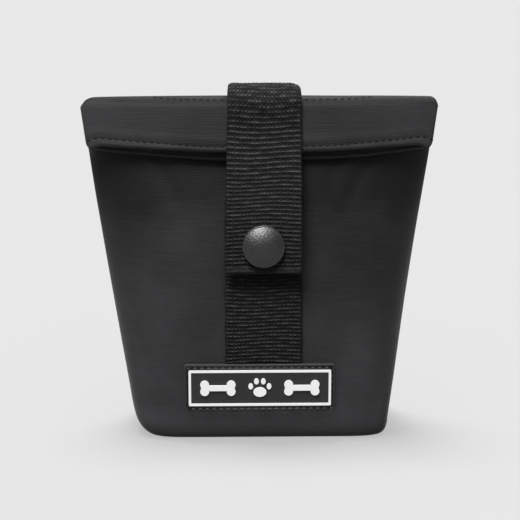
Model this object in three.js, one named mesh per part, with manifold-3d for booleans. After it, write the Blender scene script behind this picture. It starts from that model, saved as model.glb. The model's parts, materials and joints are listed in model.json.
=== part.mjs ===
// Roll-top treat pouch: a boxed-bottom fabric bag whose mouth folds forward once and is held by a strap of
// webbing with a press stud. Millimetres, +Z up, the front faces -Y, the origin is the centre of the underside.
import * as THREE from 'three';
import Module from 'manifold-3d';
import { mergeVertices } from 'three/addons/utils/BufferGeometryUtils.js';

const wasm = await Module();
wasm.setup();

// Driving dimensions
const GAP = 0.3; // air between pieces that lie on each other
const BODY_TOP = 131; // height at which the walls end and the fold begins
const BASE_HALF_WIDTH = 50.9;
const SIDE_SLOPE = 0.1436; // sideways growth of the half width per millimetre of height
const BASE_ROUND = 7; // height of the rounded lower edge
const BASE_ROUND_DEPTH = 3.6;
const FABRIC = 1.0;
const LINING = 0.6;
const WEBBING = 1.4;
const WEBBING_WIDTH = 30;
const BOARD = 1.2;
const HEM_THICKNESS = 2.2;
const OUTER_HEM_BOTTOM = 113.9;
const INNER_HEM_BOTTOM = 110.4;
const HEM_TOP = 130.6;
const STRAP_X = 0.9; // the strap is sewn on slightly right of the middle
const SNAP_HEIGHT = 78.3;
const SNAP_CAP_RADIUS = 8.2;
const HOLE_RADIUS = 2.2;
const SHANK_RADIUS = 1.8;
const LABEL = { x: -0.5, width: 59.6, height: 19.2, thickness: 1.8, centreZ: 22.2, corner: 1.2 };

// Wall profiles at the centre line: [height, distance from the side seam's plane]
const FRONT_PROFILE = [
  [0, 22], [20, 23], [45, 22.5], [70, 20], [90, 16.5], [110, 10.8], [120, 7.4], [131, 3.8],
];
const BACK_PROFILE = [
  [0, 22], [20, 22.5], [45, 21], [70, 17.5], [90, 14], [110, 9.5], [120, 7.5], [131, 6],
];
const SHARPNESS = [[0, 7], [30, 4.5], [70, 3.2], [131, 2.4]]; // of the section's long side
const FULLNESS = [[0, 3.2], [30, 2.4], [70, 1.8], [131, 1.35]]; // of the section's ends

const coated = new THREE.MeshStandardMaterial({ color: 0x2e2e30, roughness: 0.6, metalness: 0 });
const liner = new THREE.MeshStandardMaterial({ color: 0x3a3b3d, roughness: 0.75, metalness: 0 });
const webbing = new THREE.MeshStandardMaterial({ color: 0x1d1d1d, roughness: 0.85, metalness: 0 });
const plastic = new THREE.MeshStandardMaterial({ color: 0x141415, roughness: 0.4, metalness: 0 });
const lacquer = new THREE.MeshStandardMaterial({ color: 0x1b1b1d, roughness: 0.42, metalness: 0.3 });
const rubber = new THREE.MeshStandardMaterial({ color: 0x1c1b1b, roughness: 0.55, metalness: 0 });
const print = new THREE.MeshStandardMaterial({ color: 0xe8e8e6, roughness: 0.5, metalness: 0 });
const thread = new THREE.MeshStandardMaterial({ color: 0x161616, roughness: 0.8, metalness: 0 });

const treatPouch = new THREE.Group();

function add(name, geometry, material) {
  const mesh = new THREE.Mesh(geometry, material);
  mesh.name = name;
  treatPouch.add(mesh);
}

// Smooth interpolation through a table of [key, value] rows.
function along(table, key) {
  const i = Math.max(0, Math.min(table.length - 2, table.findIndex(([k]) => k > key) - 1));
  const j = table[table.length - 1][0] <= key ? table.length - 2 : i;
  const slope = (n) => {
    const a = table[Math.max(0, n - 1)];
    const b = table[Math.min(table.length - 1, n + 1)];
    return (b[1] - a[1]) / (b[0] - a[0]);
  };
  const [k0, v0] = table[j];
  const [k1, v1] = table[j + 1];
  const h = k1 - k0;
  const t = Math.min(1, Math.max(0, (key - k0) / h));
  const t2 = t * t;
  const t3 = t2 * t;
  return (2 * t3 - 3 * t2 + 1) * v0 + (t3 - 2 * t2 + t) * h * slope(j)
    + (3 * t2 - 2 * t3) * v1 + (t3 - t2) * h * slope(j + 1);
}

// How far the rounded lower edge pulls the section in at a height.
function roundIn(z) {
  const t = Math.max(0, 1 - z / BASE_ROUND);
  return BASE_ROUND_DEPTH * (1 - Math.sqrt(1 - t * t));
}

function halfWidth(z) {
  return BASE_HALF_WIDTH + SIDE_SLOPE * z - roundIn(z);
}

// The y of a wall at x and z, inset into the bag. side is -1 for the front and +1 for the back.
function wallY(side, x, z, inset = 0) {
  const depth = along(side < 0 ? FRONT_PROFILE : BACK_PROFILE, z) - roundIn(z) * 0.5 - inset;
  const u = Math.min(1, Math.abs(x) / (halfWidth(z) - inset));
  const full = Math.pow(1 - Math.pow(u, along(SHARPNESS, z)), 1 / along(FULLNESS, z));
  return side * Math.max(depth * full, GAP / 2);
}

// A closed solid between two grids of points, outer and inner, each given by (i, j).
function slab(columns, rows, outer, inner) {
  const positions = [];
  for (const point of [outer, inner]) {
    for (let j = 0; j <= rows; j++) for (let i = 0; i <= columns; i++) positions.push(...point(i, j));
  }
  const half = (columns + 1) * (rows + 1);
  const at = (i, j, layer) => layer * half + j * (columns + 1) + i;
  const faces = [];
  const quad = (a, b, c, d) => faces.push(a, b, c, a, c, d);
  for (let j = 0; j < rows; j++) {
    for (let i = 0; i < columns; i++) {
      quad(at(i, j, 0), at(i + 1, j, 0), at(i + 1, j + 1, 0), at(i, j + 1, 0));
      quad(at(i, j, 1), at(i, j + 1, 1), at(i + 1, j + 1, 1), at(i + 1, j, 1));
    }
    quad(at(0, j, 0), at(0, j + 1, 0), at(0, j + 1, 1), at(0, j, 1));
    quad(at(columns, j, 0), at(columns, j, 1), at(columns, j + 1, 1), at(columns, j + 1, 0));
  }
  for (let i = 0; i < columns; i++) {
    quad(at(i, 0, 0), at(i, 0, 1), at(i + 1, 0, 1), at(i + 1, 0, 0));
    quad(at(i, rows, 0), at(i + 1, rows, 0), at(i + 1, rows, 1), at(i, rows, 1));
  }
  return facingOut(positions, faces);
}

// A geometry from positions and faces, turned so that its faces point out.
function facingOut(positions, faces) {
  let volume = 0;
  const p = (n) => new THREE.Vector3(...positions.slice(3 * n, 3 * n + 3));
  for (let f = 0; f < faces.length; f += 3) {
    volume += p(faces[f]).dot(p(faces[f + 1]).cross(p(faces[f + 2])));
  }
  const turned = volume >= 0 ? faces : [...faces].reverse();
  const geometry = new THREE.BufferGeometry();
  geometry.setAttribute('position', new THREE.Float32BufferAttribute(positions, 3));
  geometry.setIndex(turned);
  return geometry;
}

// A solid through rings of points that all have the same count, closed at both ends.
function loft(rings, flat) {
  const count = rings[0].length;
  const positions = rings.flat(2);
  const faces = [];
  for (let r = 0; r + 1 < rings.length; r++) {
    for (let k = 0; k < count; k++) {
      const next = (k + 1) % count;
      const [a, b, c, d] = [r * count + k, r * count + next, (r + 1) * count + next, (r + 1) * count + k];
      faces.push(a, b, c, a, c, d);
    }
  }
  const caps = THREE.ShapeUtils.triangulateShape(flat.map(([x, y]) => new THREE.Vector2(x, y)), []);
  const forward = THREE.ShapeUtils.area(flat.map(([x, y]) => new THREE.Vector2(x, y))) > 0;
  const last = (rings.length - 1) * count;
  for (const [a, b, c] of caps) {
    if (forward) faces.push(c, b, a, last + a, last + b, last + c);
    else faces.push(a, b, c, last + c, last + b, last + a);
  }
  return facingOut(positions, faces);
}

function solidOf(geometry) {
  const bare = geometry.index ? geometry.clone() : geometry;
  bare.deleteAttribute('normal');
  bare.deleteAttribute('uv');
  const merged = mergeVertices(bare, 1e-4);
  return new wasm.Manifold(new wasm.Mesh({
    numProp: 3,
    vertProperties: new Float32Array(merged.attributes.position.array),
    triVerts: new Uint32Array(merged.index.array),
  }));
}

function geometryOf(solid) {
  const mesh = solid.getMesh();
  const geometry = new THREE.BufferGeometry();
  geometry.setAttribute('position', new THREE.BufferAttribute(mesh.vertProperties, 3));
  geometry.setIndex(new THREE.BufferAttribute(mesh.triVerts, 1));
  return geometry;
}

function cut(geometry, ...tools) {
  return geometryOf(tools.reduce((left, tool) => left.subtract(solidOf(tool)), solidOf(geometry)));
}

// The snap's own frame: its centre on the front wall, and its axis square to the wall, pointing out.
const snapWall = wallY(-1, 0, SNAP_HEIGHT);
const snapLean = Math.atan2(wallY(-1, 0, SNAP_HEIGHT + 9) - wallY(-1, 0, SNAP_HEIGHT - 9), 18);
const snapOut = new THREE.Vector2(-Math.cos(snapLean), Math.sin(snapLean)); // y and z
const snapDown = new THREE.Vector2(-Math.sin(snapLean), -Math.cos(snapLean));

// A point [y, z] at a height off the wall and a distance down from the snap's centre.
function offSnap(out, down) {
  return [snapWall + snapOut.x * out + snapDown.x * down, SNAP_HEIGHT + snapOut.y * out + snapDown.y * down];
}

// A round piece on the snap's axis: profile is [radius, height off the wall] and turns about the axis.
function turned(profile, segments = 28) {
  const geometry = new THREE.LatheGeometry(profile.map(([r, h]) => new THREE.Vector2(r, h)), segments);
  geometry.rotateX(Math.PI - snapLean);
  const [y, z] = offSnap(0, 0);
  geometry.translate(STRAP_X, y, z);
  return facingSolid(geometry);
}

// Merges a closed geometry's vertices and turns it to face out.
function facingSolid(geometry) {
  geometry.deleteAttribute('normal');
  geometry.deleteAttribute('uv');
  const merged = mergeVertices(geometry, 1e-4);
  const index = Array.from(merged.index.array);
  const faces = [];
  for (let f = 0; f < index.length; f += 3) {
    const [a, b, c] = index.slice(f, f + 3);
    if (a !== b && b !== c && a !== c) faces.push(a, b, c);
  }
  return facingOut(Array.from(merged.attributes.position.array), faces);
}

// A flat band of webbing: its middle line as [y, z] points, its thickness, its width along X, its middle's x.
function band(path, thickness, width, x = STRAP_X) {
  const left = [];
  const right = [];
  path.forEach(([y, z], n) => {
    const [y0, z0] = path[Math.max(0, n - 1)];
    const [y1, z1] = path[Math.min(path.length - 1, n + 1)];
    const before = new THREE.Vector2(y - y0, z - z0).normalize();
    const after = new THREE.Vector2(y1 - y, z1 - z).normalize();
    const tangent = before.add(after).normalize();
    left.push([y - tangent.y * thickness / 2, z + tangent.x * thickness / 2]);
    right.push([y + tangent.y * thickness / 2, z - tangent.x * thickness / 2]);
  });
  const flat = [...left, ...right.reverse()];
  return loft([-1, 1].map((s) => flat.map(([y, z]) => [x + s * width / 2, y, z])), flat);
}

// Points of a smooth curve through [y, z] points.
function smooth(points, count) {
  const knots = points.map(([y, z]) => new THREE.Vector3(0, y, z));
  const curve = new THREE.CatmullRomCurve3(knots, false, 'centripetal');
  return curve.getSpacedPoints(count).map((p) => [p.y, p.z]);
}

// The front or back wall from a height to the top, from one inset to another.
const WALL_ROWS = [1.3, 2.8, 5, 8, 14, 24, 36, 50, 64, 78, 90, 100, 110, 120, BODY_TOP];
function wall(side, bottom, inset, thickness) {
  const columns = 20;
  const heights = [bottom, ...WALL_ROWS.filter((z) => z > bottom + 0.01)];
  const point = (depth) => (i, j) => {
    const z = heights[j];
    const x = (halfWidth(z) - depth) * Math.sin((i / columns - 0.5) * Math.PI);
    return [x, wallY(side, x, z, depth), z];
  };
  return slab(columns, heights.length - 1, point(inset), point(inset + thickness));
}

function addWalls() {
  const hole = turned([[0, -8], [HOLE_RADIUS, -8], [HOLE_RADIUS, 8], [0, 8]], 20);
  const floorTop = FABRIC + GAP + BOARD + GAP;
  const liningInset = FABRIC + GAP;
  add('front_panel', cut(wall(-1, FABRIC + GAP, 0, FABRIC), hole), coated);
  add('back_panel', wall(1, FABRIC + GAP, 0, FABRIC), coated);
  add('front_lining', cut(wall(-1, floorTop, liningInset, LINING), hole), liner);
  add('back_lining', wall(1, floorTop, liningInset, LINING), liner);
}

// A flat floor piece with the bag's plan, between two heights.
function floor(bottom, top, inset) {
  const steps = 16;
  const ring = (z) => {
    const points = [];
    for (const side of [-1, 1]) {
      for (let i = 0; i < steps; i++) {
        const x = side * (halfWidth(z) - inset) * Math.sin((0.5 - i / steps) * Math.PI);
        points.push([x, wallY(side, x, z, inset), z]);
      }
    }
    return points;
  };
  const rings = [ring(bottom), ring(top)];
  return loft(rings, rings[0].map(([x, y]) => [x, y]));
}

function addFloor() {
  add('base_panel', floor(0, FABRIC, 0), coated);
  add('base_board', floor(FABRIC + GAP, FABRIC + GAP + BOARD, FABRIC + GAP), plastic);
  const liningBottom = FABRIC + GAP + BOARD + GAP;
  add('base_lining', floor(liningBottom, liningBottom + LINING, FABRIC + LINING + 2 * GAP), liner);
}

// Binding sewn over the seam allowance inside each side seam.
function addSeamBindings() {
  const bottom = 10;
  const top = 98;
  const rows = 6;
  for (const [name, side] of [['side_seam_binding_left', -1], ['side_seam_binding_right', 1]]) {
    const point = (y) => (i, j) => {
      const z = bottom + (top - bottom) * j / rows;
      return [side * (halfWidth(z) - 6.5 - 5 * i), y, z];
    };
    add(name, slab(1, rows, point(-0.5), point(0.5)), webbing);
  }
}

// One ply of the mouth, folded down over the front wall: a sleeve of fabric that is closed at its edge, open
// towards the fold, and holds a stiffening strip.
function addHem(name, off, bottom, sideExtra, rise) {
  const sheet = 0.6;
  const slack = 0.24;
  const columns = 12;
  const half = (z) => halfWidth(z) + sideExtra;
  const edge = (u) => bottom + rise * u * u;
  const face = (x, z) => wallY(-1, 0.9 * x, z) - off;
  const ring = (points, narrow) => (i) => {
    const u = Math.sin((i / columns - 0.5) * Math.PI);
    return points.map(([depth, up]) => {
      const z = edge(u) + up * (HEM_TOP - edge(u)) / (HEM_TOP - bottom);
      const x = u * (half(z) - narrow);
      return [x, face(x, z) - depth, z];
    });
  };
  const top = HEM_TOP - bottom;
  const thick = HEM_THICKNESS;
  const halfway = top / 2;
  const sleeve = [
    [0, top], [0, halfway], [0, 0.6], [0.6, 0], [thick - 0.6, 0], [thick, 0.6], [thick, halfway], [thick, top],
    [thick - sheet, top], [thick - sheet, halfway], [thick - sheet, 1],
    [sheet, 1], [sheet, halfway], [sheet, top],
  ];
  const strip = [
    [sheet + slack, top], [sheet + slack, halfway], [sheet + slack, 1.4],
    [thick - sheet - slack, 1.4], [thick - sheet - slack, halfway], [thick - sheet - slack, top],
  ];
  const rings = (points, narrow) => Array.from({ length: columns + 1 }, (_, i) => ring(points, narrow)(i));
  add(name, loft(rings(sleeve, 0), sleeve), coated);
  add(`${name}_stiffener`, loft(rings(strip, 2.5), strip), plastic);
}

function addHems() {
  const inner = 0.5;
  addHem('inner_hem', inner, INNER_HEM_BOTTOM, -2.2, 3.6);
  addHem('outer_hem', inner + HEM_THICKNESS + 0.4, OUTER_HEM_BOTTOM, 0.3, 2.3);
}

// The closure strap: sewn part on the back, crown over the fold, and hanging end turned under at its tip.
const STRAP_BACK_Y = 7.4;
const STRAP_FRONT_Y = -11.9;
const STRAP_HINGE_Z = 131;
const CROWN_RISE = 7.9;
const HINGE_ROOM = 2.0;
function addStrap() {
  const wallOff = (z) => wallY(1, 0, z) + GAP + WEBBING / 2;
  const anchor = [98, 104, 112, 120, STRAP_HINGE_Z - HINGE_ROOM].map((z) => [wallOff(z), z]);
  add('strap_anchor', band(anchor, WEBBING, WEBBING_WIDTH), webbing);

  const middle = (STRAP_BACK_Y + STRAP_FRONT_Y) / 2;
  const reach = (STRAP_BACK_Y - STRAP_FRONT_Y) / 2;
  const start = Math.asin(HINGE_ROOM / CROWN_RISE);
  const crown = Array.from({ length: 13 }, (_, n) => {
    const angle = start + (Math.PI - 2 * start) * n / 12;
    return [middle + reach * Math.cos(angle), STRAP_HINGE_Z + CROWN_RISE * Math.sin(angle)];
  });
  add('strap_crown', band(crown, WEBBING, WEBBING_WIDTH), webbing);

  const apart = WEBBING + GAP;
  const low = 8.4;
  const tongueOut = 6.4 + WEBBING / 2;
  const down = smooth([
    [STRAP_FRONT_Y, STRAP_HINGE_Z - HINGE_ROOM], [-13.5, 122.5], [-16.3, 114.5], [-18.9, 107],
    [-21.3, 99.5], offSnap(tongueOut, -10),
  ], 12);
  const turn = Array.from({ length: 7 }, (_, n) => {
    const angle = Math.PI * n / 6;
    return offSnap(tongueOut - apart / 2 + Math.cos(angle) * apart / 2, low + Math.sin(angle) * apart / 2);
  });
  const back = [[-1, 0], [-6, 0], [-11, 0.1]].map(([d]) => offSnap(tongueOut - apart, d));
  const path = [...down, ...turn, ...back];
  const hole = turned([[0, 3.2], [HOLE_RADIUS, 3.2], [HOLE_RADIUS, 9], [0, 9]], 20);
  add('strap_tongue', cut(band(path, WEBBING, WEBBING_WIDTH), hole), webbing);
}

// Front webbing, sewn to the wall from above the stud down to the label.
function addFrontWebbing() {
  const low = LABEL.centreZ + LABEL.height / 2 + GAP;
  const path = Array.from({ length: 11 }, (_, n) => {
    const z = low + (96 - low) * n / 10;
    return [wallY(-1, 0, z) - 0.45 - WEBBING / 2, z];
  });
  const hole = turned([[0, -8], [HOLE_RADIUS, -8], [HOLE_RADIUS, 8], [0, 8]], 20);
  add('front_webbing', cut(band(path, WEBBING, WEBBING_WIDTH), hole), webbing);
}

// The press stud: cap and socket on the strap, stud and ring on the front wall.
function addSnap() {
  const rim = 8.1;
  add('snap_cap', turned([
    [0, 5.05], [SHANK_RADIUS, 5.05], [SHANK_RADIUS, rim], [SNAP_CAP_RADIUS - 0.5, rim],
    [SNAP_CAP_RADIUS, rim + 0.4], [SNAP_CAP_RADIUS - 0.15, rim + 0.9],
    [7.1, rim + 1.7], [5.3, rim + 2.4], [2.8, rim + 2.8], [0, rim + 2.9],
  ], 36), lacquer);
  add('snap_socket', turned([
    [0, 4.1], [3.3, 4.1], [3.3, 2.9], [6.1, 2.9], [6.4, 3.2], [6.2, 4.2], [5.4, 4.4], [0, 4.4],
  ]), lacquer);
  add('snap_stud', turned([
    [0, -2.6], [SHANK_RADIUS, -2.6], [SHANK_RADIUS, 2.05], [5.6, 2.05], [5.8, 2.3], [5.6, 2.5], [2.5, 2.6],
    [2.8, 3.1], [2.7, 3.6], [2.2, 3.8], [0, 3.8],
  ]), lacquer);
  add('snap_post_ring', turned([
    [HOLE_RADIUS, -2.9], [5.4, -2.9], [5.8, -2.6], [5.4, -2.25], [HOLE_RADIUS, -2.25], [HOLE_RADIUS, -2.9],
  ]), lacquer);
}

// A plate that stands in the XZ plane: its outline, its back face's y and its thickness towards the front.
function plate(shape, backY, thickness) {
  const geometry = new THREE.ExtrudeGeometry(shape, {
    depth: thickness, bevelEnabled: false, curveSegments: 6,
  });
  geometry.rotateX(Math.PI / 2);
  geometry.translate(LABEL.x, backY, LABEL.centreZ);
  return facingSolid(geometry);
}

function roundedRectangle(shape, width, height, radius) {
  const [w, h] = [width / 2, height / 2];
  shape.moveTo(-w + radius, -h);
  shape.lineTo(w - radius, -h);
  shape.absarc(w - radius, -h + radius, radius, -Math.PI / 2, 0);
  shape.lineTo(w, h - radius);
  shape.absarc(w - radius, h - radius, radius, 0, Math.PI / 2);
  shape.lineTo(-w + radius, h);
  shape.absarc(-w + radius, h - radius, radius, Math.PI / 2, Math.PI);
  shape.lineTo(-w, -h + radius);
  shape.absarc(-w + radius, -h + radius, radius, Math.PI, 1.5 * Math.PI);
  return shape;
}

function bone(centreX) {
  const shape = new THREE.Shape();
  const [reach, knob, apart, waist] = [5.2, 1.75, 1.4, 1.15];
  const lean = Math.asin((apart - waist) / knob);
  shape.absarc(centreX + reach, apart, knob, Math.PI + lean, -0.6, true);
  shape.absarc(centreX + reach, -apart, knob, 0.6, Math.PI - lean, true);
  shape.absarc(centreX - reach, -apart, knob, lean, Math.PI - 0.6, true);
  shape.absarc(centreX - reach, apart, knob, Math.PI + 0.6, -lean, true);
  return shape;
}

function disc(x, y, rx, ry) {
  return new THREE.Shape().absellipse(x, y, rx, ry, 0, 2 * Math.PI);
}

function addLabel() {
  const backY = wallY(-1, 0, LABEL.centreZ) - 0.6;
  const faceY = backY - LABEL.thickness - 0.05;
  const raised = 0.35;
  const outline = roundedRectangle(new THREE.Shape(), LABEL.width, LABEL.height, LABEL.corner);
  add('label_patch', plate(outline, backY, LABEL.thickness), rubber);
  const frame = roundedRectangle(new THREE.Shape(), 56, 14.6, 0.5);
  frame.holes.push(roundedRectangle(new THREE.Path(), 54.1, 12.7, 0.3));
  add('label_frame', plate(frame, faceY, raised), print);
  add('label_bone_left', plate(bone(-16.5), faceY, raised), print);
  add('label_bone_right', plate(bone(16.5), faceY, raised), print);
  add('label_paw_pad', plate(disc(0, -1.65, 2.6, 2.0), faceY, raised), print);
  [[-3.6, 0.7], [-1.35, 2.75], [1.35, 2.75], [3.6, 0.7]].forEach(([x, y], n) => {
    add(`label_paw_toe_${n + 1}`, plate(disc(x, y, 0.95, 1.25), faceY, raised), print);
  });
}

// A loop of webbing on the back for a belt, with a bar tack at each end, and the strap's own tack.
function addBeltLoop() {
  const standing = [
    [93, 1.2], [85, 1.2], [81.5, 2.6], [78, 6.2], [74, 8], [64, 8.2], [54, 8], [50, 6.2], [46.5, 2.6],
    [43, 1.2], [35, 1.2],
  ];
  const path = smooth(standing.map(([z, out]) => [wallY(1, 0, z) + out, z]), 30);
  add('belt_loop', band(path, WEBBING, WEBBING_WIDTH, 0), webbing);
  const tack = (name, z, out, x = 0) => {
    const y = wallY(1, 0, z) + out;
    const lean = Math.atan2(wallY(1, 0, z + 2) - wallY(1, 0, z - 2), 4);
    const geometry = new THREE.BoxGeometry(26, 0.7, 2.0);
    geometry.rotateX(-lean);
    geometry.translate(x, y, z);
    add(name, facingSolid(geometry), thread);
  };
  tack('belt_loop_tack_upper', 89, 2.65);
  tack('belt_loop_tack_lower', 39, 2.65);
  tack('strap_tack', 102, 2.4, STRAP_X);
}

addWalls();
addFloor();
addSeamBindings();
addHems();
addStrap();
addFrontWebbing();
addSnap();
addLabel();
addBeltLoop();

export default treatPouch;
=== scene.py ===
"""Roll-top treat pouch: the visual model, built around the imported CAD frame.

Blender objects are in metres, +Z up, and the front faces -Y. Shapes are worked out in millimetres.
"""
import json
import math

import bmesh
import bpy
import numpy as np
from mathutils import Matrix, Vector

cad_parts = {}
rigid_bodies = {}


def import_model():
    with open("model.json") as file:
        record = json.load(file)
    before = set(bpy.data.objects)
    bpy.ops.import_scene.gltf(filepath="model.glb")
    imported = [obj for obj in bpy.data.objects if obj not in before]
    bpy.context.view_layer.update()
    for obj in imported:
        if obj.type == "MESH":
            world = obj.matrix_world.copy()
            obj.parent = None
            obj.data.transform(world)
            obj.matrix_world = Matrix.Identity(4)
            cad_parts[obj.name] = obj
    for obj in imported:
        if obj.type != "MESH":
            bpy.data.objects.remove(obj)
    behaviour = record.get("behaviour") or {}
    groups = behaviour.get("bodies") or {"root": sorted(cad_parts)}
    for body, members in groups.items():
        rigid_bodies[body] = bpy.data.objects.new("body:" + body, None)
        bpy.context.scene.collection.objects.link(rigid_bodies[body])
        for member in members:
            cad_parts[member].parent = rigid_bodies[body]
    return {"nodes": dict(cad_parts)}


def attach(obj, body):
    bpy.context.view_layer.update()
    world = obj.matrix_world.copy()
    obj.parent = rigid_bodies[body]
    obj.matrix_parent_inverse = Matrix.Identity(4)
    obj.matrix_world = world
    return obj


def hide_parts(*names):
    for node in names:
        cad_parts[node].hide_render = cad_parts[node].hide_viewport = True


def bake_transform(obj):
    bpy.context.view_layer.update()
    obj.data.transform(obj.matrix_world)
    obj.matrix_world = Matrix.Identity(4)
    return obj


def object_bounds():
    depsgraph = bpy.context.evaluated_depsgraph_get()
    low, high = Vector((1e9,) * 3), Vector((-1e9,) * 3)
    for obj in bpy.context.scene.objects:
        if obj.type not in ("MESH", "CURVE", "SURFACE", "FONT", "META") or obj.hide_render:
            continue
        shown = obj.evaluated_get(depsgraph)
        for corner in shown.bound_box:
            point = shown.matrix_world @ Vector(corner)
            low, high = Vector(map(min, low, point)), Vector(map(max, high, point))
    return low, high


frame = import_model()
CAD_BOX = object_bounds()
MM = 0.001

# Driving sizes, in millimetres, the same as the CAD's: first the bag.
BODY_TOP = 131.0
BASE_HALF_WIDTH = 50.9
SIDE_SLOPE = 0.1436
BASE_ROUND = 7.0
BASE_ROUND_DEPTH = 3.6
FRONT_PROFILE = [(0, 22), (20, 23), (45, 22.5), (70, 20), (90, 16.5), (110, 10.8), (120, 7.4), (131, 3.8)]
BACK_PROFILE = [(0, 22), (20, 22.5), (45, 21), (70, 17.5), (90, 14), (110, 9.5), (120, 7.5), (131, 6)]
SHARPNESS = [(0, 7), (30, 4.5), (70, 3.2), (131, 2.4)]
FULLNESS = [(0, 3.2), (30, 2.4), (70, 1.8), (131, 1.35)]
# Strap, press stud and label.
STRAP_X = 0.9
WEBBING_WIDTH = 30.0
WEBBING = 1.4
STRAP_BACK_Y = 7.4
STRAP_FRONT_Y = -11.9
CROWN_RISE = 7.9
COLUMN_PITCH = 2.6
RIB_DEPTH = 0.5
SNAP_HEIGHT = 78.3
SNAP_CAP_RADIUS = 8.2
LABEL_X = -0.5
LABEL_Z = 22.2
LABEL_WIDTH = 59.6
LABEL_HEIGHT = 19.2
LABEL_THICKNESS = 1.8
LABEL_CORNER = 1.2
# The mouth's two plies.
HEM_THICKNESS = 2.2
INNER_HEM_OFF = 0.5
OUTER_HEM_OFF = INNER_HEM_OFF + HEM_THICKNESS + 0.4
OUTER_HEM_BOTTOM = 113.9
INNER_HEM_BOTTOM = 110.4
HEM_TOP = 130.6
ROLL_TOP = 134.3
ROLL_HALF = 0.45
ROLL_SQUARE = 0.82
STITCH_PITCH = 2.7
INNER_STITCH_UP = 1.6
INNER_EXTRA = -1.2

# Heights, in metres, between which the coated cloth's painted light and shade change.
FOOT_TOP = 0.015
NECK_LOW = 0.083
FLAP_LOW = 0.1075
FLAP_MIDDLE = 0.1235
ROLL_LOW = 0.1308


# -------- camera

def make_camera():
    """The photograph's viewing angle: a little above the pouch and almost square on."""
    azimuth, elevation, distance, lens = math.radians(-1.11), math.radians(14.06), 0.7, 120.8
    target = Vector((0.00004, 0, 0.06767))
    back = Vector((
        math.sin(azimuth) * math.cos(elevation),
        -math.cos(azimuth) * math.cos(elevation),
        math.sin(elevation),
    ))
    data = bpy.data.cameras.new("camera")
    data.lens, data.sensor_width = lens, 36
    data.clip_start, data.clip_end = 0.01, 50
    camera = bpy.data.objects.new("camera", data)
    camera.location = target + back * distance
    camera.rotation_mode = "QUATERNION"
    camera.rotation_quaternion = (-back).to_track_quat("-Z", "Y")
    bpy.context.collection.objects.link(camera)
    bpy.context.scene.camera = camera


# -------- materials

class Material:
    """A Principled material whose nodes are added one call at a time."""

    def __init__(self, name, roughness, metallic=0.0, specular=0.5, sheen=0.0, sheen_roughness=0.5):
        self.data = bpy.data.materials.new(name)
        self.data.use_nodes = True
        self.tree = self.data.node_tree
        self.bsdf = self.tree.nodes["Principled BSDF"]
        for socket, value in (
            ("Roughness", roughness), ("Metallic", metallic), ("Specular IOR Level", specular),
            ("Sheen Weight", sheen), ("Sheen Roughness", sheen_roughness),
        ):
            self.bsdf.inputs[socket].default_value = value

    def node(self, kind, inputs=None, **properties):
        made = self.tree.nodes.new(kind)
        for key, value in properties.items():
            setattr(made, key, value)
        for key, value in (inputs or {}).items():
            if isinstance(value, bpy.types.NodeSocket):
                self.tree.links.new(value, made.inputs[key])
            else:
                made.inputs[key].default_value = value
        return made

    def math(self, operation, a, b=0.0, clamp=False):
        return self.node("ShaderNodeMath", {0: a, 1: b}, operation=operation, use_clamp=clamp).outputs[0]

    def ramp(self, value, stops):
        made = self.node("ShaderNodeValToRGB", {"Fac": value})
        band = made.color_ramp
        while len(band.elements) < len(stops):
            band.elements.new(0.5)
        for element, (place, colour) in zip(band.elements, stops):
            element.position = place
            element.color = (*colour, 1) if len(colour) == 3 else colour
        return made.outputs["Color"]

    def spread(self, value, low, high):
        """value, from 0 to 1, mapped to low to high."""
        made = self.node("ShaderNodeMapRange", {"Value": value, "To Min": low, "To Max": high})
        return made.outputs["Result"]

    def total(self, *terms):
        """The sum of (value, weight) terms."""
        made = None
        for value, weight in terms:
            part = self.math("MULTIPLY", value, weight)
            made = part if made is None else self.math("ADD", made, part)
        return made

    def above(self, height, start, rate):
        """0 up to a height, then rising at a rate to 1."""
        return self.math("MULTIPLY", self.math("SUBTRACT", height, start), rate, clamp=True)

    def noise(self, vector, scale, detail=4.0, rough=0.55):
        return self.node(
            "ShaderNodeTexNoise", {"Vector": vector, "Scale": scale, "Detail": detail, "Roughness": rough},
        ).outputs["Fac"]

    def bump(self, height, strength, distance, normal=None):
        inputs = {"Height": height, "Strength": strength, "Distance": distance}
        if normal is not None:
            inputs["Normal"] = normal
        return self.node("ShaderNodeBump", inputs).outputs["Normal"]

    def place(self):
        return self.node("ShaderNodeTexCoord").outputs["Object"]

    def axes(self, vector):
        return self.node("ShaderNodeSeparateXYZ", {"Vector": vector}).outputs[:3]

    def cloth(self):
        """Where a point lies on its cloth, in millimetres: across, along and 0."""
        return self.node("ShaderNodeAttribute", attribute_name="cloth").outputs["Vector"]

    def link(self, value, socket):
        self.tree.links.new(value, self.bsdf.inputs[socket])

    def glow(self, strength):
        if strength:
            self.bsdf.inputs["Emission Color"].default_value = (1, 1, 1, 1)
            self.bsdf.inputs["Emission Strength"].default_value = strength


def threads(material, vector, pitch_across, pitch_along):
    """Plain weave from a cloth place in millimetres: 1 on the crown of a thread, and 0 between threads."""
    across, along_cloth, _ = material.axes(vector)
    warp = material.math("SINE", material.math("MULTIPLY", across, math.pi / pitch_across))
    weft = material.math("SINE", material.math("MULTIPLY", along_cloth, math.pi / pitch_along))
    flip = material.math("GREATER_THAN", material.math("MULTIPLY", warp, weft), 0.0)
    over = material.math("MULTIPLY", material.math("ABSOLUTE", warp), flip)
    under = material.math("MULTIPLY", material.math("ABSOLUTE", weft), material.math("SUBTRACT", 1.0, flip))
    return material.math("ADD", over, under)


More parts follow.
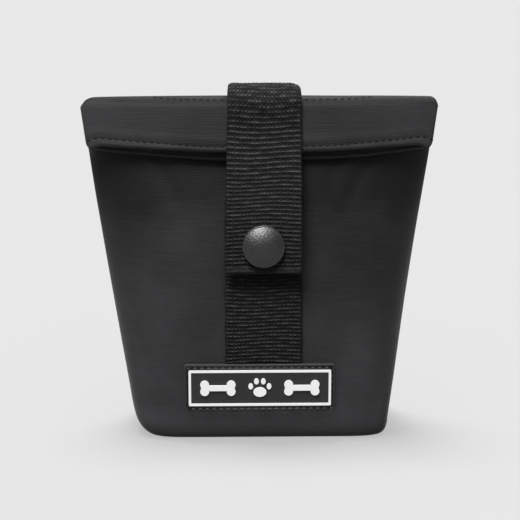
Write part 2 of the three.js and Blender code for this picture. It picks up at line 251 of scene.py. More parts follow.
def coated_canvas(name, dark, light, roughness=0.5):
    """Canvas under a thin coat: its weave shows in patches, over cloudy tone and scuffs, with painted light
    and shade by height and side.
    """
    m = Material(name, roughness, specular=0.21, sheen=0.02, sheen_roughness=0.45)
    cloth, place = m.cloth(), m.place()
    weave = threads(m, cloth, 0.72, 0.6)
    drawn = m.node("ShaderNodeMapping", {"Vector": cloth, "Scale": (0.07, 1.3, 1)}).outputs[0]
    slub, clouds, fine = m.noise(drawn, 1.0, 3), m.noise(place, 24.0, 3), m.noise(place, 1100.0, 3)
    patches = m.spread(m.noise(place, 46.0, 2), -0.6, 1.6)
    sideways, _, height = m.axes(place)
    on_flap = m.above(height, FLAP_LOW, 200.0)
    # Painted shade: the wall is darker towards its right side, as if lit from the left. The flap is left out.
    right = m.math("MULTIPLY", m.above(sideways, 0.0, 25.0), m.math("SUBTRACT", 1.0, on_flap))
    # Painted light: the cloth is lighter at its base, up to FOOT_TOP.
    foot = m.above(m.math("MULTIPLY", height, -1.0), -FOOT_TOP, 90.0)
    # Painted light and shade on the flap: lighter than the wall below it, lighter towards its ends and
    # upwards, and darker over the roll at its top.
    ends = m.above(m.math("ABSOLUTE", sideways), 0.028, 12.0)
    roll = m.above(height, ROLL_LOW, 700.0)
    flap = m.total((ends, 0.85), (roll, -0.5), (m.math("SUBTRACT", height, FLAP_MIDDLE), 11.0))
    flap = m.math("MULTIPLY", m.math("ADD", flap, 0.33), on_flap)
    # Random clouds, slub, weave and scuffs, plus painted shade: darker towards the top, more painted shade
    # under the flap from NECK_LOW up, and the painted light and shade above.
    tone = m.total(
        (clouds, 0.5), (slub, 0.34), (m.math("MULTIPLY", weave, patches), 0.14), (fine, 0.16), (height, -5.8),
        (m.above(height, NECK_LOW, 50.0), -0.2), (foot, 0.3), (right, -0.05), (flap, 1.0))
    tone = m.math("ADD", tone, 0.43, clamp=True)
    # The lightest colour stop is painted light. The tone reaches it where painted light is added, at the base
    # and at the flap's ends.
    painted_light_colour = tuple(1.25 * c for c in light)
    m.link(m.ramp(tone, [(0.25, dark), (0.9, light), (1.0, painted_light_colour)]), "Base Color")
    m.link(m.spread(m.total((clouds, 0.6), (fine, 0.4)), roughness - 0.08, roughness + 0.16), "Roughness")
    grain = m.bump(m.total((weave, 0.7), (slub, 0.8)), 0.45, 0.00014)
    m.link(m.bump(fine, 0.35, 0.00008, grain), "Normal")
    return m.data


def webbing_yarn(name, dark, light, roughness=0.72):
    """Nylon yarn: the ribs are real geometry, and this adds the yarn's own twist, fuzz and tone, with painted
    shade in the grooves and painted light on the ribs' crowns.
    """
    m = Material(name, roughness, specular=0.14, sheen=0.03, sheen_roughness=0.4)
    cloth, place = m.cloth(), m.place()
    across, along_cloth, _ = m.axes(cloth)
    turns = m.total((across, 1.0), (along_cloth, 0.8))
    twist = m.math("SINE", m.math("MULTIPLY", turns, 2 * math.pi / 0.42))
    fuzz, mottle = m.noise(place, 2600.0, 2), m.noise(place, 420.0, 3)
    crown = m.node("ShaderNodeAttribute", attribute_name="crown").outputs["Fac"]
    # Painted shade and light: the colour goes from near black in the grooves between ribs to light on their
    # crowns.
    tone = m.math("SUBTRACT", m.total((crown, 0.85), (mottle, 0.3), (fuzz, 0.16)), 0.2, clamp=True)
    middle = tuple(0.86 * d + 0.14 * c for d, c in zip(dark, light))
    m.link(m.ramp(tone, [(0.12, dark), (0.45, middle), (0.85, light)]), "Base Color")
    m.link(m.spread(fuzz, roughness - 0.1, roughness + 0.14), "Roughness")
    yarn = m.bump(m.math("MULTIPLY", twist, 0.5), 0.45, 0.00008)
    m.link(m.bump(fuzz, 0.5, 0.00008, yarn), "Normal")
    return m.data


def grained(name, dark, light, roughness, grain_scale, grain_depth, specular=0.5, metallic=0.0, glow=0.0):
    """A moulded or lacquered surface with a fine grain and slight wear in its gloss. glow, where given, makes
    it glow evenly: painted light.
    """
    m = Material(name, roughness, metallic, specular)
    place = m.place()
    grain = m.noise(place, grain_scale, 3, 0.6)
    clouds = m.noise(place, grain_scale / 14, 2)
    tone = m.total((grain, 0.55), (clouds, 0.45))
    m.link(m.ramp(tone, [(0.3, dark), (0.75, light)]), "Base Color")
    m.link(m.spread(tone, roughness - 0.1, roughness + 0.12), "Roughness")
    m.link(m.bump(grain, 0.5, grain_depth), "Normal")
    m.glow(glow)
    return m.data


make_camera()
CANVAS = coated_canvas("coated canvas", (0.0035, 0.0035, 0.0042), (0.0415, 0.0395, 0.0425))
LINING = coated_canvas("lining fabric", (0.04, 0.041, 0.043), (0.065, 0.066, 0.069), 0.62)
YARN = webbing_yarn("webbing yarn", (0.0007, 0.0007, 0.0007), (0.105, 0.103, 0.1))
BINDING = webbing_yarn("binding yarn", (0.006, 0.006, 0.0065), (0.03, 0.03, 0.031))
THREAD = webbing_yarn("sewing thread", (0.008, 0.008, 0.0085), (0.034, 0.034, 0.035), 0.55)
LACQUER = grained("black lacquer", (0.0035, 0.0035, 0.004), (0.013, 0.013, 0.014), 0.38, 1250.0, 3e-04, 0.47)
STEEL = grained("blackened steel", (0.03, 0.03, 0.032), (0.07, 0.07, 0.074), 0.4, 3000.0, 3e-05, metallic=0.6)
RUBBER = grained("label rubber", (0.016, 0.0155, 0.0155), (0.03, 0.028, 0.028), 0.6, 2600.0, 4e-05, 0.4)
# The label's white print glows a little: painted light.
PRINT = grained("label white", (0.86, 0.86, 0.855), (0.93, 0.93, 0.925), 0.55, 2200.0, 2e-05, 0.35, glow=0.2)
BOARD = grained("stiffener sheet", (0.012, 0.012, 0.012), (0.03, 0.03, 0.03), 0.5, 1500.0, 3e-05)


# -------- the bag's shape, in millimetres

def along(table, key):
    """Smooth interpolation through a table of (key, value) rows, as in the CAD."""
    keys, values = (np.array(column, float) for column in zip(*table))
    key = np.clip(np.asarray(key, float), keys[0], keys[-1])
    last = len(keys) - 1
    before, after = np.clip(np.arange(last + 1) - 1, 0, last), np.clip(np.arange(last + 1) + 1, 0, last)
    slopes = (values[after] - values[before]) / (keys[after] - keys[before])
    j = np.clip(np.searchsorted(keys, key, side="right") - 1, 0, last - 1)
    h = keys[j + 1] - keys[j]
    t = (key - keys[j]) / h
    return (
        (2 * t**3 - 3 * t**2 + 1) * values[j] + (t**3 - 2 * t**2 + t) * h * slopes[j]
        + (3 * t**2 - 2 * t**3) * values[j + 1] + (t**3 - t**2) * h * slopes[j + 1]
    )


def smoothstep(low, high, value):
    t = np.clip((np.asarray(value, float) - low) / (high - low), 0, 1)
    return t * t * (3 - 2 * t)


def bell(value, centre, width):
    return np.exp(-((np.asarray(value, float) - centre) / width) ** 2)


def rounded(share, least):
    """Falls round a quarter circle from 1, at a share of 1 and above, to nearly 0 at an edge's share of 0."""
    return np.sqrt(np.clip(1 - (1 - np.clip(share, 0, 1)) ** 2, least, 1))


def lengths_along(points, power=1.0):
    """The distance from the first point to each point of a path, or the sum of a power of its steps."""
    return np.concatenate([[0], np.cumsum(np.linalg.norm(np.diff(points, axis=0), axis=1) ** power)])


def round_in(z):
    """How far the rounded lower edge pulls the section in at a height."""
    t = np.clip(1 - np.asarray(z, float) / BASE_ROUND, 0, 1)
    return BASE_ROUND_DEPTH * (1 - np.sqrt(1 - t * t))


def half_width(z):
    return BASE_HALF_WIDTH + SIDE_SLOPE * np.asarray(z, float) - round_in(z)


def wall_depth(side, x, z, inset=0.0):
    """How far the front (side -1) or back (+1) wall stands from the side seams' plane."""
    depth = along(FRONT_PROFILE if side < 0 else BACK_PROFILE, z) - round_in(z) * 0.5 - inset
    u = np.clip(np.abs(x) / (half_width(z) - inset), 0, 1)
    boxy = bell(z, 0, 30) * np.where(np.asarray(x) > 0, 1.2, 0.4)
    return depth * (1 - u ** (along(SHARPNESS, z) + 5 * boxy)) ** (1 / (along(FULLNESS, z) + 2.5 * boxy))


WAVES = np.random.default_rng(11)
WAVE_ROWS = [
    (WAVES.uniform(0.06, 0.17), WAVES.uniform(-1.2, 1.2), WAVES.uniform(0, 2 * math.pi)) for _ in range(14)
]


def undulation(x, z, phase):
    """Slow random waves over a wall, about -1 to 1."""
    total = np.zeros(np.broadcast(x, z).shape)
    for n, (rate, lean, start) in enumerate(WAVE_ROWS):
        total += np.sin(rate * (x * math.cos(lean) + z * math.sin(lean)) + start + phase * (n + 1))
    return total / 4.2


def dents(side, x, z):
    """How far the cloth stands off its plain shape: slack, and creases below the flap and at the base."""
    calm = 1 - bell(x, 0, 21) * 0.85
    fade = smoothstep(0, 14, z) * (1 - smoothstep(104, 122, z))
    out = 0.42 * undulation(x, z, 0.0 if side < 0 else 1.7) * calm * fade
    for corner, slant, place, deep in (
        (-1, 0.42, 40, 0.55), (1, 0.5, 43, 0.5), (-1, 0.16, 27, 0.3), (1, 0.22, 30, 0.32),
    ):
        line = corner * (place - slant * (112 - z))
        out -= deep * bell(x, line, 3.4) * bell(z, 103, 17) * (1 - smoothstep(112, 124, z))
    for corner, at, slant in ((-1, 45, 0.12), (1, 43.5, 0.24)):
        out -= 0.6 * bell(x, corner * (at + slant * z), 4.2) * bell(z, 26, 22)
        out += 0.35 * bell(x, corner * (at + 6.5 + slant * z), 4.0) * bell(z, 24, 20)
    out -= 0.25 * bell(np.abs(x), 31.5, 2.2) * bell(z, 24, 11) if side < 0 else 0
    return out


def wall_y(side, x, z, inset=0.0):
    depth = wall_depth(side, x, z, inset)
    return side * np.maximum(depth + dents(side, x, z) * np.clip(depth / 6, 0, 1), 0)


# -------- meshes

def piece(name, points, faces, material, cloth=None, crown=None):
    """A mesh object from points in millimetres and faces. cloth is where each point lies on its cloth,
    and crown is how high it is on its rib, from 0 to 1."""
    mesh = bpy.data.meshes.new(name)
    mesh.from_pydata((np.asarray(points, float) * MM).tolist(), [], [tuple(map(int, face)) for face in faces])
    if cloth is not None:
        flat = np.pad(cloth, ((0, 0), (0, 1)))
        mesh.attributes.new("cloth", "FLOAT_VECTOR", "POINT").data.foreach_set("vector", flat.ravel())
    if crown is not None:
        mesh.attributes.new("crown", "FLOAT", "POINT").data.foreach_set("value", crown.ravel())
    mesh.validate()
    tool = bmesh.new()
    tool.from_mesh(mesh)
    bmesh.ops.recalc_face_normals(tool, faces=tool.faces)
    if tool.calc_volume(signed=True) < 0:
        bmesh.ops.reverse_faces(tool, faces=tool.faces)
    for face in tool.faces:
        face.smooth = True
    tool.to_mesh(mesh)
    tool.free()
    mesh.materials.append(material)
    made = bpy.data.objects.new(name, mesh)
    bpy.context.collection.objects.link(made)
    return made


def quads(rows, columns, start=0, wrap_columns=False, wrap_rows=False):
    """The faces of a grid of points, row by row from a first point's number."""
    faces = []
    for j in range(rows if wrap_rows else rows - 1):
        below, above = start + j * columns, start + ((j + 1) % rows) * columns
        for i in range(columns if wrap_columns else columns - 1):
            k = (i + 1) % columns
            faces.append((below + i, below + k, above + k, above + i))
    return faces


def caps(rows, columns, start=0):
    """The faces that close the first and the last ring of a grid of points."""
    return [tuple(range(start, start + columns))[::-1],
            tuple(range(start + (rows - 1) * columns, start + rows * columns))]


def shell(front, back):
    """Points and faces of a closed sheet between two grids of points, (rows, columns, 3) each."""
    rows, columns = front.shape[:2]
    count = rows * columns
    points = np.concatenate([front.reshape(-1, 3), back.reshape(-1, 3)])
    faces = quads(rows, columns) + [face[::-1] for face in quads(rows, columns, count)]
    edge = list(range(columns)) + [j * columns + columns - 1 for j in range(1, rows)]
    edge += [(rows - 1) * columns + i for i in range(columns - 2, -1, -1)]
    edge += [j * columns for j in range(rows - 2, 0, -1)]
    for a, b in zip(edge, edge[1:] + edge[:1]):
        faces.append((b, a, a + count, b + count))
    return points, faces


def path_frame(path):
    """Lengths along, tangents and normals of a path of [y, z] points. A normal is to its tangent's right."""
    path = np.asarray(path, float)
    tangent = np.gradient(path, axis=0)
    tangent /= np.linalg.norm(tangent, axis=1)[:, None]
    return lengths_along(path), tangent, np.stack([tangent[:, 1], -tangent[:, 0]], 1)


def mix(a, b, start, stop, t):
    return ((stop - t) * a + (t - start) * b) / (stop - start)


def resample(path, step):
    """Points at even steps along a smooth curve through [y, z] points: a centripetal Catmull-Rom spline."""
    path = np.asarray(path, float)
    path = np.concatenate([[2 * path[0] - path[1]], path, [2 * path[-1] - path[-2]]])
    knots = lengths_along(path, 0.5)
    fine = []
    for n in range(len(path) - 3):
        (p0, p1, p2, p3), (t0, t1, t2, t3) = path[n:n + 4], knots[n:n + 4]
        for t in np.linspace(t1, t2, 24, endpoint=n == len(path) - 4):
            a1, a2, a3 = mix(p0, p1, t0, t1, t), mix(p1, p2, t1, t2, t), mix(p2, p3, t2, t3, t)
            b1, b2 = mix(a1, a2, t0, t2, t), mix(a2, a3, t1, t3, t)
            fine.append(mix(b1, b2, t1, t2, t))
    fine = np.array(fine)
    length = lengths_along(fine)
    places = np.linspace(0, length[-1], max(3, int(round(length[-1] / step)) + 1))
    return np.stack([np.interp(places, length, fine[:, k]) for k in (0, 1)], 1)


# -------- bag body and lining

def side_shift(side, z):
    """How far a side of the bag stands out from its plain taper. The left lower corner is the rounder one."""
    if side < 0:
        return 0.62 * bell(z, 88, 36) - 0.85 * bell(z, 9, 24) - 1.9 * np.clip(1 - z / 14, 0, 1) ** 2
    return 1.7 * np.clip(1 - z / 7, 0, 1) ** 1.5 - 0.15 * bell(z, 70, 30) - 0.55 * bell(z, 12, 22)


def tube_ring(z, inset, steps, squeeze=1.0):
    """One ring of the bag at a height: the front from left to right, then the back. squeeze draws it in. The
    front's rim is lifted, so that it meets the inner ply when the mouth is unrolled."""
    angle = 2 * math.pi * np.arange(steps) / steps
    half = half_width(z) - inset
    x = -half * np.cos(angle)
    y = np.where(np.sin(angle) >= 0, wall_y(-1, x, z, inset), wall_y(1, x, z, inset))
    seam = np.abs(x) > half - 1e-6
    y[seam] = 0
    near = np.exp(-((half - np.abs(x)) ** 2 + y ** 2) / 0.7 ** 2) * squeeze
    groove = 0.32 * near * smoothstep(3, 12, z) * (1 - smoothstep(60, 100, z))
    shift = np.where(x < 0, side_shift(-1, z), side_shift(1, z)) * (np.abs(x) / half) ** 4
    lift = 1.9 * smoothstep(123, 131, z) * (y < -0.4) * (1 - smoothstep(53, 63, np.abs(x))) * (squeeze == 1)
    x = x + np.sign(x) * (shift - groove)
    return np.stack([x * squeeze, y * squeeze, z + lift], 1)


def bag(name, bottom, inset, thickness, heights, steps, material):
    """A bag in one piece: a bottom and walls with an outer and an inner face and a turned rim."""
    bottoms = [0.01, 0.12, 0.25, 0.4, 0.55, 0.7, 0.82, 0.91, 0.97]
    along_cloth = [40 * share - 40 for share in bottoms] + list(heights)

    def layer(depth, floor, hollow):
        made = [tube_ring(floor, depth, steps, share) for share in bottoms]
        for ring, share in zip(made, bottoms):
            ring[:, 2] += hollow * math.sin(math.pi * share)
        return made + [tube_ring(max(z, floor), depth, steps) for z in heights]

    outer = np.array(layer(inset, bottom, 0.21))
    inner = np.array(layer(inset + thickness, bottom + thickness, 0))[::-1]
    rim = (outer[-1] + inner[0]) / 2
    outer[-1, :, 2] -= 0.15
    inner[0, :, 2] -= 0.15
    rings = np.concatenate([outer, rim[None], inner])
    places = np.array(along_cloth + along_cloth[-1:] + along_cloth[::-1])
    count = len(rings)
    faces = quads(count, steps, wrap_columns=True) + caps(count, steps)
    cloth = np.stack([rings[..., 0], np.repeat(places[:, None], steps, 1)], 2)
    return piece(name, rings.reshape(-1, 3), faces, material, cloth.reshape(-1, 2))


def make_bag():
    low = [0.02, 0.25, 0.6, 1.1, 1.8, 2.7, 3.8, 5.0, 6.2]
    heights = low + list(np.linspace(7.4, BODY_TOP, 118))
    body = bag("bag_body", 0.0, 0.0, 0.95, heights, 288, CANVAS)
    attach(body, "pouch")
    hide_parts("front_panel", "back_panel", "base_panel")
    lining_heights = [2.9, 3.3, 3.9, 4.8, 6.2] + list(np.linspace(7.6, BODY_TOP - 0.4, 70))
    lining = bag("bag_lining", 2.8, 1.3, 0.55, lining_heights, 176, LINING)
    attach(lining, "pouch")
    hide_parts("front_lining", "back_lining", "base_lining")


# -------- mouth plies

def hem_face(x, z, off):
    """The y of a ply at a distance off the front wall, which it follows a little more flatly."""
    return wall_y(-1, 0.9 * np.asarray(x, float), z) - off


def stitches(name, places, along_vectors, out_vectors, length, radius):
    """Short lengths of thread: each an end-tapered bead lying along its seam, half sunk in the cloth."""
    points, faces, rings, sides = [], [], 7, 6
    for place, forward, out in zip(places, along_vectors, out_vectors):
        forward = np.asarray(forward, float) / np.linalg.norm(forward)
        out = np.asarray(out, float) - forward * np.dot(out, forward)
        out /= np.linalg.norm(out)
        side = np.cross(forward, out)
        start = len(points)
        for t in np.linspace(-1, 1, rings):
            fat = radius * math.sqrt(max(0.05, 1 - abs(t) ** 3))
            centre = np.asarray(place) + forward * t * length / 2 + out * (0.16 - 0.3 * t * t)
            for angle in 2 * math.pi * np.arange(sides) / sides:
                points.append(centre + fat * (side * math.cos(angle) + out * 0.8 * math.sin(angle)))
        faces += quads(rings, sides, start, wrap_columns=True) + caps(rings, sides, start)
    points = np.array(points)
    return piece(name, points, faces, THREAD, points[:, [0, 2]])


def corner_cut(u, z):
    """How far a mouth's upper corner is rounded off sideways at a height. The left corner is the wider."""
    reach, tall, power = (np.where(u < 0, *pair) for pair in ((8.5, 3.4), (4.7, 3.6), (2.6, 2.1)))
    t = np.clip((z - (ROLL_TOP - tall)) / tall, 0, 0.985)
    return reach * (1 - (1 - t ** power) ** (1 / power))


def seam_pucker(x, distance):
    """Depth of the groove that a row of stitches pulls into cloth, with a pucker at each stitch."""
    return bell(distance, 0, 0.42) * (0.13 + 0.06 * np.cos(2 * math.pi * x / STITCH_PITCH))


def outer_extra(u):
    """How much wider than the wall the outer ply is at its left and right ends."""
    return np.where(np.asarray(u) < 0, 0.3, -0.3)


def end_taper(u):
    """How much of its thickness a ply keeps over the last millimetre or so before its two sewn ends."""
    return rounded((1 - np.abs(u)) * half_width(HEM_TOP) / 1.3, 0.02)


def roll_row(u, t, inner):
    """The outer ply over the fold, from the back wall's top at t 0 to the hem's top at t 1. inner is the
    depth below its outer face. At the ply's two ends the outer and inner faces meet."""
    half_top = half_width(HEM_TOP) + outer_extra(u)
    back_y = wall_y(1, u * half_width(BODY_TOP), BODY_TOP)
    front_y = hem_face(u * half_top, HEM_TOP, OUTER_HEM_OFF + HEM_THICKNESS)
    depth = ROLL_HALF + (inner - ROLL_HALF) * end_taper(u)
    cos, sin = math.cos(math.pi * t), math.sin(math.pi * t)
    middle, reach = (back_y + front_y) / 2, (back_y - front_y) / 2
    y = middle + (reach - depth) * math.copysign(abs(cos) ** ROLL_SQUARE, cos)
    rise = ROLL_TOP - BODY_TOP - 0.12 * bell(u, 0.45, 0.2)
    z = BODY_TOP + (HEM_TOP - BODY_TOP) * t + np.maximum(rise - depth, 0.1) * sin ** ROLL_SQUARE
    slope = (hem_face(u * half_top, HEM_TOP, 0) - hem_face(u * half_top, HEM_TOP - 2, 0)) / 2
    y = y + slope * np.maximum(z - HEM_TOP, 0) * smoothstep(0.35, 0.95, t)
    half = half_width(BODY_TOP) * (1 - t) + half_top * t
    x = u * (half - corner_cut(u, z + depth))
    return np.stack([x, y, z], -1)


def hem_row(u, share, down, depth, off, extra, edge):
    """A row of a hem: share of the way from top to edge, then down millimetres, at a depth from its face."""
    z = HEM_TOP + (edge - HEM_TOP) * share - down
    near_edge = np.clip(1 - (z - edge) / 2, 0, 2)
    x = u * (half_width(z) + extra - corner_cut(u, z) - 0.6 * near_edge ** 2)
    half = HEM_THICKNESS / 2
    depth = half + (depth - half) * end_taper(u)
    return np.stack([x, hem_face(x, z, off + HEM_THICKNESS) + depth, z], -1)


def hem_rows(u, off, extra, edge, stitch_up, puckers=0.0):
    """The rows round a hem's sleeve: its face, turned edge and back, and round its hollow to the top."""
    half, skin = HEM_THICKNESS / 2, 0.6
    bottom = edge + half
    rows = []

    def add(share, depth, down=0):
        rows.append(hem_row(u, share, down, depth, off, extra, bottom))

    for share in np.linspace(0, 1, 34)[1:]:
        add(share, 0)
        x, y, up = rows[-1][:, 0], rows[-1][:, 1], rows[-1][:, 2] - edge
        y += seam_pucker(x, up - stitch_up)
        y -= 0.15 * bell(up, stitch_up * 0.42, 0.8) + 0.13 * bell(up, stitch_up + 2.2, 1.5)
        y -= puckers * np.cos(2 * math.pi * x / 1.6) * bell(up, 0.9, 1.2)
    for angle in np.linspace(0, math.pi, 10)[1:-1]:
        add(1, half * (1 - math.cos(angle)), half * math.sin(angle))
    for share in np.linspace(1, 0, 14):
        add(share, HEM_THICKNESS)
    for share in np.linspace(0, 1, 12):
        add(share, HEM_THICKNESS - skin)
    add(1, half, 0.3)
    for share in np.linspace(1, 0, 12):
        add(share, skin)
    return rows


def crowded(count):
    """Places across a ply, from -1 to 1, closer together towards its ends."""
    widest = 0.94 * math.pi / 2
    return np.sin(np.linspace(-1, 1, count) * widest) / math.sin(widest)


def ply(name, rows):
    """A closed band through rows of points that go once round its section."""
    grid = np.array(rows)
    count, columns = grid.shape[:2]
    faces = quads(count, columns, wrap_rows=True)
    faces.append(tuple(j * columns for j in range(count))[::-1])
    faces.append(tuple(j * columns + columns - 1 for j in range(count)))
    place = BODY_TOP + lengths_along(grid[:, columns // 2])
    cloth = np.stack([grid[..., 0], np.repeat(place[:, None], columns, 1)], 2)
    return piece(name, grid.reshape(-1, 3), faces, CANVAS, cloth.reshape(-1, 2))


def stitch_line(name, xs, place, pitch, body):
    """A row of stitches along a mouth ply. place gives a point from x, and pitch is from stitch to stitch."""
    count = int((xs[1] - xs[0]) / pitch)
    middles = xs[0] + (xs[1] - xs[0]) * (np.arange(count) + 0.5) / count
    places = [place(x) for x in middles]
    forward = [place(x + 0.5) - place(x - 0.5) for x in middles]
    made = stitches(name, places, forward, [(0, -1, 0.3)] * count, length=pitch * 0.8, radius=0.2)
    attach(made, body)


def outer_edge(u):
    ends = (1 - np.abs(u)) * half_width(OUTER_HEM_BOTTOM)
    return OUTER_HEM_BOTTOM + 2.3 * u ** 2 + 0.12 * np.sin(9 * u + 1) - 2.0 * bell(ends, 0, 3.0)


def outer_stitch_up(u):
    return 2.4 + 1.3 * u ** 2


def inner_edge(u):
    return INNER_HEM_BOTTOM + 3.6 * u ** 2 + 0.15 * np.sin(8 * u)


def make_outer_ply():
    u = crowded(236)
    over = [roll_row(u, t, 0.0) for t in np.linspace(0, 1, 34)]
    hem = hem_rows(u, OUTER_HEM_OFF, outer_extra(u), outer_edge(u), outer_stitch_up(u))
    under = [roll_row(u, t, 0.85) for t in np.linspace(1, 0, 24)[1:]]
    made = ply("mouth_outer_ply", over + hem + under)
    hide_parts("outer_hem")
    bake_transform(made)

    def on_face(x):
        u = x / half_width(118)
        z = outer_edge(u) + outer_stitch_up(u)
        return np.array([x, hem_face(x, z, OUTER_HEM_OFF + HEM_THICKNESS) + 0.1, z])

    stitch_line("mouth_outer_stitches", (-68, 68), on_face, STITCH_PITCH, "mouth_back")

    def under_top(x):
        u = np.array([x / half_width(ROLL_TOP)])
        return roll_row(u, 0.71 - 0.13 * ((abs(x) - 18) / 26) ** 2, 0.02)[0]

    for side, ends in (("left", (-45, -14)), ("right", (17, 46))):
        stitch_line(f"fold_stitches_{side}", ends, under_top, STITCH_PITCH, "mouth_back")


def lip_row(u, t, inner):
    """The inner ply over its own tight fold, from t 0 inside the mouth to t 1 at its hem's top."""
    front_x = u * (half_width(HEM_TOP) + INNER_EXTRA)
    front_y = hem_face(front_x, HEM_TOP, INNER_HEM_OFF + HEM_THICKNESS)
    tall = 2.5
    depth = ROLL_HALF + (inner - ROLL_HALF) * end_taper(u)
    angle = math.pi * (0.5 + t / 2)
    z = HEM_TOP + np.maximum(tall - depth, 0.1) * math.sin(angle)
    y = front_y + 3.3 + (3.3 - depth) * math.cos(angle)
    x = u * (half_width(HEM_TOP) + INNER_EXTRA - corner_cut(u, z + 1.2))
    return np.stack([x, y, z], -1)


def make_inner_ply():
    u = crowded(216)
    over = [lip_row(u, t, 0.0) for t in np.linspace(0, 1, 14)]
    hem = hem_rows(u, INNER_HEM_OFF, INNER_EXTRA, inner_edge(u), INNER_STITCH_UP, puckers=0.1)
    under = [lip_row(u, t, 0.7) for t in np.linspace(1, 0, 12)[1:]]
    made = ply("mouth_inner_ply", over + hem + under)
    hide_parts("inner_hem")
    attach(made, "mouth_front")

    def on_face(x):
        u = x / (half_width(114) + INNER_EXTRA)
        z = inner_edge(u) + INNER_STITCH_UP
        return np.array([x, hem_face(x, z, INNER_HEM_OFF + HEM_THICKNESS) + 0.1, z])

    stitch_line("mouth_inner_stitches", (-63, 63), on_face, 2.6, "mouth_front")


# -------- webbing

def ribs(across, along_rows, seed=0.0, broken=0.0):
    """Height of ribbed webbing, 0 to 1. across is in millimetres, and along_rows counts rows of ribs.
    Where the webbing bends, broken is up to 1 and its ribs part into staggered beads."""
    wander = 0.24 * np.sin(across * 0.17 + seed + along_rows * 0.13)
    row = along_rows + wander + 0.025 * np.sin(across * 0.9 + along_rows * 0.7)
    number = np.round(row)
    ridge = (0.5 + 0.5 * np.cos(2 * math.pi * row)) ** 2.7
    phase = 2 * math.pi * across / COLUMN_PITCH + 0.8 * np.sin(number * 2.4 + seed)
    uneven = 0.06 * np.sin(3.1 * number + 0.8 * across) + 0.05 * np.sin(1.7 * number - 0.37 * across)
    bead = 0.85 + 0.08 * np.cos(phase) + 0.07 * np.cos(2 * phase + 1.3 * number) + uneven
    valley = (0.5 - 0.5 * np.cos(2 * math.pi * row)) ** 2
    knots = 0.3 * valley * (0.5 - 0.5 * np.cos(phase)) ** 2
    lines = np.clip(ridge * bead + knots, 0, 1)
    drift = 0.9 * np.sin(2.1 * number + seed) + 0.5 * np.sin(0.6 * across + 1.1 * number)
    weave = np.cos(2 * math.pi * row) * np.cos(2 * math.pi * across / 1.55 + drift)
    patchy = 0.16 * np.sin(0.9 * across + 1.9 * row) * np.sin(0.53 * across - 1.3 * row + seed)
    beads = np.clip(0.4 + 0.42 * weave + 2 * uneven + patchy, 0, 1)
    return lines * (1 - broken) + beads * broken


def constant(value):
    """A quantity that is the same at every distance along a path."""
    return lambda distance: np.full_like(distance, value)


def webbing(name, path, pitch, x_mid, seed, phase=0.0, step=0.32, follow=lambda x, z: 0.0,
            droop=lambda x, distance: 0.0, narrow=constant(0.0), bend=constant(0.36), flat=constant(0.0)):
    """A length of ribbed webbing along a path of [y, z] points, with soft selvages and real ribs on both
    faces. follow gives how far the cloth under it stands from its middle line, by x and z, and droop how far
    it hangs, by x and distance along. The rest go by distance: pitch is the rib spacing, narrow draws the
    left edge in, bend breaks the ribs up and flat smooths them out. It returns the piece and the number of
    ribs counted to its end."""
    path = resample(path, step)
    length, tangent, normal = path_frame(path)
    spacing = pitch(length)
    counted = phase + np.concatenate([[0], np.cumsum(np.diff(length) / (0.5 * (spacing[1:] + spacing[:-1])))])
    half = WEBBING_WIDTH / 2
    share = np.linspace(-1, 1, 92)
    across = half * (share + 0.035 * np.sin(math.pi * share))
    across *= half / across[-1]
    inside = half - np.abs(across)
    selvage = rounded(inside / 0.8, 0.03)
    x, rows = np.meshgrid(across, counted)
    ends = np.minimum(length, length[-1] - length)
    ending = rounded(ends / 0.45, 0.12)[:, None]
    sides, crowns = [], []
    for face, offset in ((1, 0.0), (-1, 1.6)):
        height = ribs(x + offset, rows + 0.5 * (face < 0), seed + offset, bend(length)[:, None])
        height += (0.62 - height) * flat(length)[:, None]
        edge = 1 - smoothstep(0.0, 1.1, inside)[None, :]
        height = height * (1 - 0.55 * edge) + 0.25 * edge * (0.5 + 0.5 * np.cos(2 * math.pi * rows))
        out = (WEBBING / 2 - RIB_DEPTH * (1 - height)) * selvage[None, :] * ending
        y = path[:, :1] + normal[:, :1] * out * face
        z = path[:, 1:] + normal[:, 1:] * out * face
        y = y + follow(x + x_mid, z)
        low = droop(x, length[:, None])
        y, z = y - normal[:, :1] * low, z - normal[:, 1:] * low
        wave = 0.1 * np.sin(rows * 0.7 + seed) * (np.abs(x) / half) ** 3 * np.sign(x)
        drawn = narrow(length)[:, None] * (0.5 - 0.5 * x / half)
        sides.append(np.stack([x + x_mid + wave + drawn, y, z], -1))
        crowns.append(height)
    points, faces = shell(sides[0], sides[1])
    cloth = np.stack([np.tile(x, (2, 1)), np.tile(np.repeat(length[:, None], x.shape[1], 1), (2, 1))], 2)
    made = piece(name, points, faces, YARN, cloth.reshape(-1, 2), np.concatenate(crowns))
    return made, counted[-1]


# How far the front wall leans back at the press stud, and where it is there.
SNAP_LEAN = math.atan2(-wall_depth(-1, 0, SNAP_HEIGHT + 9) + wall_depth(-1, 0, SNAP_HEIGHT - 9), 18)
SNAP_WALL = float(-wall_depth(-1, 0, SNAP_HEIGHT))


def off_snap(out, down):
    """[y, z] at a distance off the front wall and a distance down from the press stud's centre."""
    cos, sin = math.cos(SNAP_LEAN), math.sin(SNAP_LEAN)
    return [SNAP_WALL - cos * out - sin * down, SNAP_HEIGHT + sin * out - cos * down]


